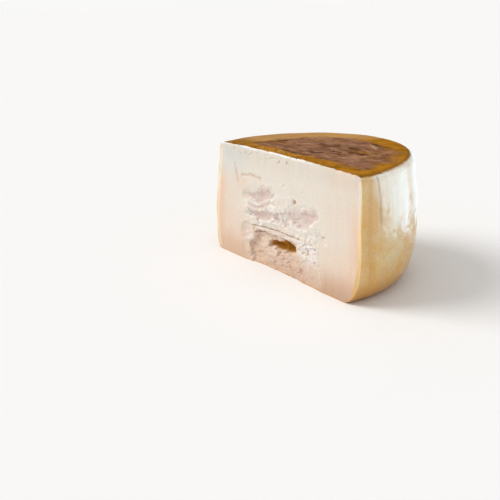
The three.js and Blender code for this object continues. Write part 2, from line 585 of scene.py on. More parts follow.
@dataclass(frozen=True)
class BrokenCut:
    """What the prising left in the middle of the cut. Millimetres from the axis and the table."""

    ledge_height: float = 38.0
    ledge_waves: Relief = Relief(Lumps((7.0, 7.0, 7.0), 64), 0.8)
    slab_depth: float = 5.6
    slab_tilt: float = 0.07  # how much shallower it gets for each millimetre down
    slab_wall: tuple[float, float] = (-0.3, 1.6)  # how far inside its outline it starts, and is deep
    slab: Scoop = Scoop(centre=(-10.0, 10.0), half=(40.0, 44.0))
    slab_shakes: tuple[Shake, ...] = (Shake(19.0, 7.5, 60), Shake(7.0, 3.0, 62), Shake(2.8, 0.9, 74))
    scar: Scoop = Scoop(centre=(-3.0, 10.0), half=(61.0, 40.0), depth=1.9)
    hollows: tuple[Scoop, ...] = (
        Scoop(centre=(-12.0, 26.5), half=(15.0, 5.5), depth=15.0, turn=14.0),
        Scoop(centre=(4.5, 29.0), half=(14.0, 7.0), depth=17.0, turn=-6.0),
    )
    shells: tuple[Scoop, ...] = (
        Scoop(centre=(-35.0, 75.0), half=(28.0, 9.5), depth=3.2, turn=12.0, lean=0.85),
        Scoop(centre=(-29.0, 65.5), half=(24.0, 4.2), depth=2.0, turn=14.0, lean=0.6),
        Scoop(centre=(-32.0, 54.5), half=(25.0, 7.5), depth=3.6, turn=9.0, lean=0.55),
        Scoop(centre=(-8.0, 57.0), half=(8.5, 6.0), depth=3.8, turn=24.0, lean=0.4),
        Scoop(centre=(6.0, 57.5), half=(9.5, 7.5), depth=3.9, turn=-20.0, lean=0.4),
        Scoop(centre=(30.0, 66.5), half=(25.0, 12.0), depth=3.2, turn=14.0, lean=0.7),
        Scoop(centre=(60.0, 53.0), half=(9.0, 4.2), depth=1.3, turn=-24.0, lean=0.6),
        Scoop(centre=(38.0, 50.0), half=(13.0, 4.0), depth=1.2, turn=8.0, lean=0.8),
        Scoop(centre=(-56.0, 33.0), half=(7.0, 11.0), depth=1.8, turn=-20.0),
    )
    scoop_shakes: tuple[Shake, ...] = (Shake(17.0, 4.2, 1), Shake(7.0, 2.2, 3), Shake(2.8, 0.8, 5))
    pits: tuple[Scoop, ...] = (
        Scoop(centre=(21.0, 78.5), half=(2.5, 2.8), depth=3.4, steep=0.8),
        Scoop(centre=(6.0, 91.0), half=(1.8, 2.0), depth=0.9, steep=1.0),
        Scoop(centre=(50.0, 39.0), half=(3.4, 2.6), depth=2.0, steep=0.8),
        Scoop(centre=(44.0, 42.0), half=(2.2, 1.8), depth=1.4, steep=0.8),
        Scoop(centre=(61.0, 53.0), half=(3.0, 1.8), depth=1.4, steep=0.8),
        Scoop(centre=(33.0, 90.0), half=(1.4, 1.3), depth=0.8, steep=1.0),
        Scoop(centre=(-84.0, 61.0), half=(1.3, 1.6), depth=0.7, steep=1.0),
        Scoop(centre=(84.0, 94.0), half=(1.2, 1.4), depth=0.6, steep=1.0),
    )
    pinholes: Lumps = Lumps((3.0, 3.0, 2.2), 12)  # a row of them runs just under the top edge
    pinhole_height: float = 114.5
    cracks: tuple[Stroke, ...] = (
        Stroke(path=((-71.0, 100.0), (-70.0, 91.0), (-67.0, 84.0)), width=3.4, depth=0.9),
        Stroke(path=((-60.0, 90.0), (-48.0, 93.0), (-31.0, 91.5)), width=2.8, depth=0.9),
        Stroke(path=((-49.0, 40.0), (-24.0, 42.5), (-8.0, 43.0), (26.0, 43.0)), width=1.3, depth=2.6),
        Stroke(path=((-44.0, 33.0), (-26.0, 38.0), (3.0, 36.5)), width=1.2, depth=1.8),
        Stroke(path=((-44.0, 38.0), (-45.0, 31.0), (-42.0, 24.0)), width=2.4, depth=0.8),
    )
    crack_shakes: tuple[Shake, ...] = (Shake(6.0, 1.0, 70),)
    # How strongly the cracks are coloured, partly painted shade along them.
    crack_colour: Relief = Relief(Lumps((9.0, 9.0, 9.0), 72), 0.75)
    ripples: Terraces = Terraces(
        centre=(-20.0, 150.0),
        squash=2.2,
        width=7.5,
        rise=0.7,
        wobbles=(Relief(Lumps((20.0, 20.0, 14.0), 52), 1.8), Relief(Lumps((5.0, 5.0, 4.0), 53), 0.45)),
    )
    broken_areas: tuple[Scoop, ...] = (
        Scoop(centre=(-5.0, 50.0), half=(66.0, 38.0)),
        Scoop(centre=(-2.0, 12.0), half=(64.0, 44.0)),
    )
    broken_shakes: tuple[Shake, ...] = (Shake(14.0, 6.0, 66), Shake(4.0, 1.6, 68))
    rough_patch: Scoop = Scoop(centre=(42.0, 36.0), half=(22.0, 15.0))
    lip_patches: Lumps = Lumps((8.0, 8.0, 6.0), 76)
    rubble: Relief = Relief(Chips((19.0, 19.0, 10.0), 50), 1.7)
    torn: tuple[Relief, ...] = (
        Relief(Chips((7.5, 7.5, 4.6), 6), 0.42, crumbly_depth=0.55),
        Relief(Chips((2.8, 2.8, 2.2), 7), 0.18, crumbly_depth=0.5),
        Relief(Lumps((1.3, 1.3, 1.3), 8), 0.10, crumbly_depth=0.16),
    )
    crumbly_swell: float = 0.35  # how far crumbling paste stands out
    knife_marks: tuple[Relief, ...] = (
        Relief(Lumps((45.0, 45.0, 38.0), 10), 0.35),
        Relief(Lumps((1.7, 1.7, 60.0), 11), 0.09),
        Relief(Lumps((1.3, 1.3, 1.3), 8), 0.05),
    )

    def slab_inside(self, points: np.ndarray) -> np.ndarray:
        """Find how far inside the slab's outline each vertex is.

        Args:
            points: the vertices of the cut, in millimetres.

        Returns:
            The distance in millimetres, below 0 outside.
        """
        across, up = shaken(points, Face.CUT, self.slab_shakes)
        round_edge = (1.0 - self.slab.rim(across, up)) * min(self.slab.half)
        ledge = self.ledge_height - self.ledge_waves.at(points)
        return np.minimum(round_edge, ledge - points[:, 2])

    def coarse(self, points: np.ndarray) -> np.ndarray:
        """Find the depth of everything wider than a few millimetres.

        Args:
            points: the vertices of the cut, in millimetres.

        Returns:
            The depth at each.
        """
        across, up = shaken(points, Face.CUT, self.scoop_shakes)
        deep = ease(self.slab_inside(points), *self.slab_wall)
        fall = self.slab_depth - self.slab_tilt * (self.ledge_height - points[:, 2])
        slab = deep * (fall + self.rubble.at(points))
        scoops = [scoop.sunk(across, up) for scoop in (self.scar, *self.hollows, *self.shells)]
        depths = np.maximum.reduce([slab, *scoops])
        return depths + ease(depths, 0.6, 2.0) * self.ripples.at(points)

    def brokenness(self, points: np.ndarray) -> np.ndarray:
        """Find where the paste was prised apart.

        Args:
            points: the vertices of the cut, in millimetres.

        Returns:
            1 there, falling to 0 on the knife's smooth margins.
        """
        across, up = shaken(points, Face.CUT, self.broken_shakes)
        near = np.minimum.reduce([area.rim(across, up) for area in self.broken_areas])
        return ease(near, 1.06, 0.86)

    def crumbling(self, points: np.ndarray) -> np.ndarray:
        """Find where the paste crumbles.

        Args:
            points: the vertices of the cut, in millimetres.

        Returns:
            1 along the lips of the shells and on the rough patch, less on the slab's edge, 0 elsewhere.
        """
        across, up = shaken(points, Face.CUT, self.scoop_shakes)
        patchy = ease(self.lip_patches.at(points), -0.35, 0.15)
        lips = [shell.lip(across, up) * patchy for shell in self.shells]
        below_ledge = ease(points[:, 2], self.ledge_height + 0.5, self.ledge_height - 2.0)
        slab_edge = ease(np.abs(self.slab_inside(points)), 3.4, 0.8) * below_ledge
        rough = ease(self.rough_patch.rim(across, up), 1.15, 0.6)
        return np.maximum.reduce([*lips, 0.5 * slab_edge, rough])

    def grain(self, points: np.ndarray, broken: np.ndarray, crumbly: np.ndarray) -> np.ndarray:
        """Find the depth of the crumbs, flakes and knife marks.

        Args:
            points: the vertices of the cut, in millimetres.
            broken: how broken the paste is at each.
            crumbly: how much it crumbles at each.

        Returns:
            The depth at each.
        """
        torn = sum(layer.at(points, crumbly) for layer in self.torn) - self.crumbly_swell * crumbly
        knife = sum(layer.at(points) for layer in self.knife_marks)
        return broken * torn + (1.0 - broken) * knife

    def pricks(self, points: np.ndarray) -> np.ndarray:
        """Find the depth of the pits and of the row of pinholes.

        Args:
            points: the vertices of the cut, in millimetres.

        Returns:
            The depth at each.
        """
        depth = np.zeros(len(points))
        for pit in self.pits:
            depth = np.maximum(depth, pit.sunk(points[:, 0], points[:, 2]))
        from_row = np.abs(points[:, 2] - self.pinhole_height)
        row = ease(from_row, 4.5, 1.0) * ease(points[:, 0], 60.0, 20.0)
        return depth + row * ease(self.pinholes.at(points), 0.25, 0.5)

    def cracked(self, points: np.ndarray) -> tuple[np.ndarray, np.ndarray]:
        """Find the depth and colour of the cracks, whose colour is partly painted shade along them.

        Args:
            points: the vertices of the cut, in millimetres.

        Returns:
            The depth at each, and how much of the crack's colour it has.
        """
        across, up = shaken(points, Face.CUT, self.crack_shakes)
        depth, share = np.zeros(len(points)), np.zeros(len(points))
        strength = 0.45 + self.crack_colour.at(points)
        for crack in self.cracks:
            here = crack.share(across, up)
            depth = np.maximum(depth, crack.depth * here)
            share = np.maximum(share, here * strength)
        return depth, np.clip(share, 0.0, 1.0)


@dataclass(frozen=True)
class RindRelief:
    """What age, cloth and handling left on the outside, in millimetres from the axis and the table."""

    patch_centre: tuple[float, float] = (15.0, 0.0)
    patch_radius: float = 78.0
    patch_front: float = -11.0
    patch_warps: tuple[Relief, ...] = (
        Relief(Lumps((26.0, 26.0, 26.0), 20), 9.0),
        Relief(Lumps((8.0, 8.0, 8.0), 21), 3.0),
    )
    patch_wrinkles: tuple[Relief, ...] = (
        Relief(Folds((11.0, 5.0, 8.0), 23), 0.55),
        Relief(Lumps((4.0, 3.0, 4.0), 24), 0.3),
    )
    top_dents: tuple[Relief, ...] = (
        Relief(Lumps((34.0, 34.0, 34.0), 22), 0.5),
        Relief(Lumps((2.5, 2.5, 2.5), 27), 0.08),
    )
    scratches: tuple[Stroke, ...] = (
        Stroke(path=((52.0, 8.0), (57.0, 18.0), (62.0, 31.0), (66.0, 45.0)), width=1.6, depth=0.5),
        Stroke(path=((27.0, 67.0), (36.0, 62.5), (44.0, 57.0)), width=1.5, depth=0.5),
        Stroke(path=((-30.0, 20.0), (-12.0, 31.0), (-2.0, 46.0)), width=1.3, depth=0.4),
    )
    gouges: tuple[Stroke, ...] = (
        Stroke(path=((-16.0, -11.0), (2.0, -9.0), (20.0, -6.0)), width=5.0, depth=1.0),
        Stroke(path=((6.0, 3.0), (15.0, 4.0), (20.0, 7.0)), width=5.5, depth=1.0),
        Stroke(path=((24.0, 19.0), (30.0, 20.0)), width=5.0, depth=0.6),
        Stroke(path=((41.0, 27.0), (50.0, 31.0), (56.0, 30.0)), width=6.0, depth=0.8),
        Stroke(path=((34.0, -11.0), (41.0, -6.0), (46.0, 2.0)), width=3.6, depth=0.8),
        Stroke(path=((-68.0, -10.0), (-62.0, 5.0), (-55.0, 22.0)), width=12.0, depth=0.3),
        Stroke(path=((-8.0, 34.0), (4.0, 32.0), (8.0, 38.0)), width=9.0, depth=0.3),
        Stroke(path=((27.0, 42.0), (33.0, 40.0)), width=9.0, depth=0.3),
        Stroke(path=((26.0, 75.0), (40.0, 72.0), (54.0, 66.0)), width=9.0, depth=0.3),
    )
    mark_shakes: tuple[Shake, ...] = (Shake(7.0, 3.0, 25),)
    flank_dents: tuple[Relief, ...] = (
        Relief(Lumps((26.0, 26.0, 20.0), 30), 0.42),
        Relief(Lumps((9.0, 9.0, 8.0), 34), 0.16),
        Relief(Lumps((9.0, 9.0, 46.0), 31), 0.16),
        Relief(Lumps((2.6, 2.6, 2.6), 32), 0.05),
    )
    crease_turn: float = -4.0  # degrees round from the right, on the flank
    crease_top: float = 95.0
    crease_lean: float = 0.055  # degrees that it turns for each millimetre down
    crease_wander: Relief = Relief(Lumps((30.0, 30.0, 26.0), 33), 0.9)
    crease_depth: float = 0.1

    def patch(self, points: np.ndarray) -> np.ndarray:
        """Find the dry brown middle of the top.

        Args:
            points: the vertices, in millimetres.

        Returns:
            1 on it, 0 on the smooth rim.
        """
        warp = sum(layer.at(points) for layer in self.patch_warps)
        dx, dy = points[:, 0] - self.patch_centre[0], points[:, 1] - self.patch_centre[1]
        inner = ease(np.hypot(dx, dy) + warp, self.patch_radius + 5.0, self.patch_radius - 9.0)
        return inner * ease(points[:, 1] + 0.5 * warp, self.patch_front - 4.0, self.patch_front + 4.0)

    def top(self, points: np.ndarray) -> tuple[np.ndarray, np.ndarray]:
        """Find the dents, wrinkles, scratches and gouges of the top.

        Args:
            points: the vertices, in millimetres.

        Returns:
            The depth at each, and how much of a pale scratch (above 0) or dark gouge (below) it is.
        """
        across, back = shaken(points, Face.TOP, self.mark_shakes)
        wrinkles = sum(layer.at(points) for layer in self.patch_wrinkles)
        depth = sum(layer.at(points) for layer in self.top_dents) + self.patch(points) * wrinkles
        mark = np.zeros(len(points))
        for strokes, sign in ((self.scratches, 1.0), (self.gouges, -1.0)):
            for stroke in strokes:
                here = stroke.share(across, back)
                depth = depth + stroke.depth * here
                mark = mark + sign * here
        return depth, mark

    def flank(self, points: np.ndarray) -> tuple[np.ndarray, np.ndarray]:
        """Find the dents, faint bands and one crease of the flank.

        Args:
            points: the vertices, in millimetres.

        Returns:
            The depth at each, and how much of the crease's painted shade it has.
        """
        turn = np.degrees(np.arctan2(points[:, 1], points[:, 0]))
        down = self.crease_top - points[:, 2]
        line = self.crease_turn + self.crease_lean * down + self.crease_wander.at(points)
        crease = ease(down, 31.0, 11.0) * ease(np.abs(turn - line), 0.9, 0.0)
        dents = sum(layer.at(points) for layer in self.flank_dents)
        return dents + self.crease_depth * crease, crease


class RemeshKind(Enum):
    """How a modifier lays even cells over a shape."""

    SHARP = "SHARP"


@dataclass(frozen=True)
class CutWheel:
    """The finished piece: a whole wheel, cut, prised open and aged."""

    name: str = "cut_wheel"
    cut_offset: float = 27 * MM  # how far the cut stands in front of the axis
    octree_depth: int = 8
    octree_scale: float = 0.572  # cells of about 1.5 mm on a wheel this size
    smooth_angle: float = math.radians(38.0)
    skin_ends: tuple[float, float] = (0.25, 1.4)  # millimetres inside it, where the cut's relief takes over
    facing_top: tuple[float, float] = (0.75, 0.97)  # how far up the skin faces where the top takes over
    facing_flank: tuple[float, float] = (0.9, 0.5)
    edge_chips: Lumps = Lumps((5.0, 5.0, 5.0), 40)
    edge_chip_depth: float = 0.9
    broken_cut: BrokenCut = field(default_factory=BrokenCut)
    rind_relief: RindRelief = field(default_factory=RindRelief)

    def build(self, low: Vector, high: Vector) -> tuple[bpy.types.Object, Vector]:
        """Make the piece and set it down.

        Args:
            low: the lowest corner of the CAD node's box.
            high: its highest corner.

        Returns:
            The piece, and where the wheel's axis meets the table.
        """
        piece = WholeWheel(height=high.z - low.z).turn()
        piece.name = piece.data.name = self.name
        skin = Skin.of(piece)
        self.cut(piece)
        self.even_out(piece)
        self.open_up(piece.data)
        self.even_out(piece)
        self.refine(piece, skin)
        self.roughen(piece.data, skin)
        points = points_of(piece.data)
        middle = 0.5 * (points[:, 0].min() + points[:, 0].max())
        axis = Vector((0.5 * (low.x + high.x) - middle, low.y + self.cut_offset, low.z))
        piece.data.transform(Matrix.Translation(axis))
        pick(piece)
        bpy.ops.object.shade_smooth_by_angle(angle=self.smooth_angle)
        return piece, axis

    def cut(self, piece: bpy.types.Object) -> None:
        """Take away what stood in front of the cut.

        Args:
            piece: the whole wheel.
        """
        pick(piece)
        bpy.ops.object.mode_set(mode="EDIT")
        bpy.ops.mesh.select_all(action="SELECT")
        bpy.ops.mesh.bisect(
            plane_co=(0.0, -self.cut_offset, 0.0),
            plane_no=(0.0, 1.0, 0.0),
            use_fill=True,
            clear_inner=True,
        )
        bpy.ops.object.mode_set(mode="OBJECT")

    def even_out(self, piece: bpy.types.Object) -> None:
        """Lay even cells over the shape, and keep its edges.

        Args:
            piece: the wheel.
        """
        pick(piece)
        cells = piece.modifiers.new("cells", "REMESH")
        cells.mode = RemeshKind.SHARP.value
        cells.octree_depth = self.octree_depth
        cells.scale = self.octree_scale
        bpy.ops.object.modifier_apply(modifier=cells.name)

    def open_up(self, mesh: bpy.types.Mesh) -> None:
        """Sink the slab, the hollows and the shells into the cut.

        Args:
            mesh: the wheel's mesh, about its own axis.
        """
        points = points_of(mesh)
        on_cut = points[:, 1] < -self.cut_offset + 0.3 * MM
        points[on_cut, 1] += self.broken_cut.coarse(points[on_cut] / MM) * MM
        put_points(mesh, points)

    def refine(self, piece: bpy.types.Object, skin: Skin) -> None:
        """Halve the cells of the cut.

        Args:
            piece: the wheel, opened up.
            skin: the skin of the whole wheel.
        """
        mesh = piece.data
        centres = np.zeros(len(mesh.polygons) * 3, np.float32)
        mesh.polygons.foreach_get("center", centres)
        away, _ = skin.measure(centres.reshape(-1, 3))
        pick(piece)
        bpy.ops.object.mode_set(mode="EDIT")
        bpy.ops.mesh.select_mode(type="FACE")
        bpy.ops.mesh.select_all(action="DESELECT")
        bpy.ops.object.mode_set(mode="OBJECT")
        mesh.polygons.foreach_set("select", away > 0.6)
        bpy.ops.object.mode_set(mode="EDIT")
        bpy.ops.mesh.subdivide(number_cuts=1)
        bpy.ops.object.mode_set(mode="OBJECT")

    def roughen(self, mesh: bpy.types.Mesh, skin: Skin) -> None:
        """Add the fine relief, and write down what the finish needs to know.

        Args:
            mesh: the wheel's mesh, about its own axis.
            skin: the skin of the whole wheel.
        """
        points, normals = points_of(mesh), points_of(mesh, "normal")
        places = points / MM
        away, up = skin.measure(points)
        inside = ease(away, *self.skin_ends)
        behind = np.clip(places[:, 1] + self.cut_offset / MM, 0.0, None)
        on_top = (1.0 - inside) * ease(up, *self.facing_top)
        on_flank = (1.0 - inside) * ease(np.abs(up), *self.facing_flank)

        cut = self.broken_cut
        broken = cut.brokenness(places) * inside
        crumbly = cut.crumbling(places)
        pricks = cut.pricks(places)
        crack_depth, crack_stain_and_shade = cut.cracked(places)
        # Pits take the cracks' colour by their depth: painted shade in them.
        crack_stain_and_shade = np.maximum(crack_stain_and_shade, ease(pricks, 0.9, 2.4))
        depth = inside * (cut.grain(places, broken, crumbly) + crack_depth + pricks)

        top_depth, top_mark = self.rind_relief.top(places)
        flank_depth, crease = self.rind_relief.flank(places)
        depth = depth + on_top * top_depth + on_flank * flank_depth
        edge = ease(away, 2.5, 0.0) * ease(behind, 2.0, 0.3) * ease(up, *self.facing_top)
        depth = depth + self.edge_chip_depth * edge * ease(self.edge_chips.at(places), -0.1, 0.6)
        put_points(mesh, points - normals * (depth * MM)[:, None])

        write_layer(mesh, Layer.SKIN, away)
        write_layer(mesh, Layer.RIND, skin.rind_share(away, up))
        write_layer(mesh, Layer.UP, up)
        write_layer(mesh, Layer.BROKEN, broken)
        write_layer(mesh, Layer.CRUMBLY, crumbly * broken)
        write_layer(mesh, Layer.DEPTH, behind * inside)
        write_layer(mesh, Layer.STAIN, crack_stain_and_shade * inside + top_mark * on_top + crease * on_flank)


# ---- Finishes ----


class Maths(Enum):
    """Sums that a Math node can do on one or two numbers."""

    ADD = "ADD"
    SUBTRACT = "SUBTRACT"
    MULTIPLY = "MULTIPLY"
    SMALLEST = "MINIMUM"
    LARGEST = "MAXIMUM"
    ROOT = "SQRT"
    SIZE = "ABSOLUTE"


@dataclass(frozen=True)
class Signal:
    """A number-valued socket, on which sums can be written as on a number."""

    bench: "Bench"
    socket: bpy.types.NodeSocket

    def _sum(self, kind: Maths, first: Any, second: Any) -> "Signal":
        """One Math node on two numbers or signals."""
        made = self.bench.node("ShaderNodeMath", {"operation": kind.value}, {0: first, 1: second})
        return Signal(self.bench, made.outputs[0])

    def __add__(self, other: Any) -> "Signal":
        """Sum with what stands to the right."""
        return self._sum(Maths.ADD, self, other)

    def __radd__(self, other: Any) -> "Signal":
        """Sum with what stands to the left."""
        return self._sum(Maths.ADD, other, self)

    def __sub__(self, other: Any) -> "Signal":
        """Take away what stands to the right."""
        return self._sum(Maths.SUBTRACT, self, other)

    def __rsub__(self, other: Any) -> "Signal":
        """Take this away from what stands to the left."""
        return self._sum(Maths.SUBTRACT, other, self)

    def __mul__(self, other: Any) -> "Signal":
        """Multiply by what stands to the right."""
        return self._sum(Maths.MULTIPLY, self, other)

    def __rmul__(self, other: Any) -> "Signal":
        """Multiply by what stands to the left."""
        return self._sum(Maths.MULTIPLY, other, self)

    def root(self) -> "Signal":
        """Square root."""
        return self._sum(Maths.ROOT, self, 0.0)

    def size(self) -> "Signal":
        """Value without its sign."""
        return self._sum(Maths.SIZE, self, 0.0)

    def smallest(self, other: Any) -> "Signal":
        """The smaller of this and another."""
        return self._sum(Maths.SMALLEST, self, other)

    def largest(self, other: Any) -> "Signal":
        """The larger of this and another."""
        return self._sum(Maths.LARGEST, self, other)

    def ease(self, low: float, high: float, start: float = 0.0, end: float = 1.0) -> "Signal":
        """Ramp smoothly from one number to another.

        Args:
            low: where the ramp starts. It may be the larger one.
            high: where the ramp ends.
            start: what the ramp gives at low and before.
            end: what the ramp gives at high and after.

        Returns:
            The ramp.
        """
        made = self.bench.node(
            "ShaderNodeMapRange",
            {"interpolation_type": "SMOOTHSTEP"},
            {"Value": self, "From Min": low, "From Max": high, "To Min": start, "To Max": end},
        )
        return Signal(self.bench, made.outputs["Result"])


class Bench:
    """One material's node tree, and the means to add to it."""

    def __init__(self, name: str) -> None:
        """Start an empty material.

        Args:
            name: the material's name.
        """
        self.material = bpy.data.materials.new(name)
        self.material.use_nodes = True
        self.tree = self.material.node_tree
        self.tree.nodes.clear()

    def node(self, kind: str, settings: dict[str, Any], sockets: dict[Any, Any]) -> bpy.types.Node:
        """Add one node.

        Args:
            kind: the node's type.
            settings: its properties, set first.
            sockets: a value, a socket or a signal for each of its inputs, by name or number.

        Returns:
            The node.
        """
        made = self.tree.nodes.new(kind)
        for key, value in settings.items():
            setattr(made, key, value)
        for key, value in sockets.items():
            target = made.inputs[key]
            source = value.socket if isinstance(value, Signal) else value
            if isinstance(source, bpy.types.NodeSocket):
                self.tree.links.new(source, target)
            else:
                target.default_value = source
        return made

    def layer(self, layer: Layer) -> Signal:
        """Read one of the mesh's own layers."""
        made = self.node("ShaderNodeAttribute", {"attribute_name": layer.value}, {})
        return Signal(self, made.outputs["Fac"])

    def place(self, origin: Vector, unit: float) -> bpy.types.NodeSocket:
        """Read Object coordinates.

        Args:
            origin: where they are counted from.
            unit: the unit they are counted in, in metres.

        Returns:
            The coordinates' socket.
        """
        coordinates = self.node("ShaderNodeTexCoord", {}, {})
        share = 1.0 / unit
        made = self.node(
            "ShaderNodeMapping",
            {},
            {
                "Vector": coordinates.outputs["Object"],
                "Location": tuple(-share * c for c in origin),
                "Scale": (share, share, share),
            },
        )
        return made.outputs["Vector"]

    def parts(self, vector: bpy.types.NodeSocket) -> tuple[Signal, Signal, Signal]:
        """Split a place into its x, y and z."""
        made = self.node("ShaderNodeSeparateXYZ", {}, {"Vector": vector})
        return tuple(Signal(self, made.outputs[axis]) for axis in "XYZ")

    def noise(
        self,
        place: bpy.types.NodeSocket,
        lump: float | Colour,
        detail: float = 3.0,
        rough: float = 0.5,
        warp: float = 0.0,
    ) -> Signal:
        """Cloudy noise, about 0 to 1.

        Args:
            place: where it is read.
            lump: the width of a lump, one number or one for each axis, in the place's units.
            detail: how many finer layers it has.
            rough: how strong the finer layers are.
            warp: how much it is distorted.

        Returns:
            The noise.
        """
        widths = lump if isinstance(lump, tuple) else (lump, lump, lump)
        spread = self.node(
            "ShaderNodeMapping", {}, {"Vector": place, "Scale": tuple(1.0 / w for w in widths)}
        )
        made = self.node(
            "ShaderNodeTexNoise",
            {},
            {
                "Vector": spread.outputs["Vector"],
                "Scale": 1.0,
                "Detail": detail,
                "Roughness": rough,
                "Distortion": warp,
            },
        )
        return Signal(self, made.outputs["Fac"])

    def blend(self, share: Any, low: Any, high: Any, kind: str = "MIX") -> bpy.types.NodeSocket:
        """Mix two colours.

        Args:
            share: 0 for the first colour, 1 for the second.
            low: the first colour, or a socket of one.
            high: the second.
            kind: how they mix.

        Returns:
            The mixed colour's socket.
        """
        pair = [c + (1.0,) if isinstance(c, tuple) else c for c in (low, high)]
        made = self.node(
            "ShaderNodeMix",
            {"data_type": "RGBA", "blend_type": kind},
            {0: share, 6: pair[0], 7: pair[1]},
        )
        return made.outputs[2]

    def bump(self, height: Signal, deep: float, strength: float = 1.0) -> bpy.types.NodeSocket:
        """Turn a height into a normal.

        Args:
            height: the height, 0 to 1.
            deep: what a height of 1 means, in metres.
            strength: how much of it shows.

        Returns:
            The normal's socket.
        """
        made = self.node(
            "ShaderNodeBump", {}, {"Height": height, "Strength": strength, "Distance": deep}
        )
        return made.outputs["Normal"]

    def coat_of(self, sockets: dict[str, Any]) -> bpy.types.NodeSocket:
        """A Principled shader with these inputs."""
        return self.node("ShaderNodeBsdfPrincipled", {}, sockets).outputs["BSDF"]

    def over(self, share: Signal, low: Any, high: Any) -> bpy.types.NodeSocket:
        """Mix two shaders: 0 gives the first, 1 the second."""
        return self.node("ShaderNodeMixShader", {}, {0: share, 1: low, 2: high}).outputs[0]


@dataclass(frozen=True)
class PasteSigns:
    """What the paste's finish reads at each point."""

    across: Signal
    height: Signal
    away: Signal
    depth: Signal
    broken: Signal
    crumbly: Signal
    clouds: Signal
    strokes: Signal
    grain: Signal
    crumbs: Signal

    @classmethod
    def read(cls, bench: Bench, place: bpy.types.NodeSocket) -> "PasteSigns":
        """Read the layers and set up the patterns.

        Args:
            bench: the material.
            place: coordinates about the wheel's axis, in millimetres.

        Returns:
            The signs.
        """
        across, _, height = bench.parts(place)
        return cls(
            across=across,
            height=height,
            away=bench.layer(Layer.SKIN),
            depth=bench.layer(Layer.DEPTH),
            broken=bench.layer(Layer.BROKEN),
            crumbly=bench.layer(Layer.CRUMBLY),
            clouds=bench.noise(place, 22.0, detail=4.0),
            strokes=bench.noise(place, (7.0, 7.0, 80.0), detail=3.0),
            grain=bench.noise(place, 1.6, detail=5.0, rough=0.6),
            crumbs=bench.noise(place, (5.0, 5.0, 3.4), detail=5.0, rough=0.6, warp=0.6),
        )


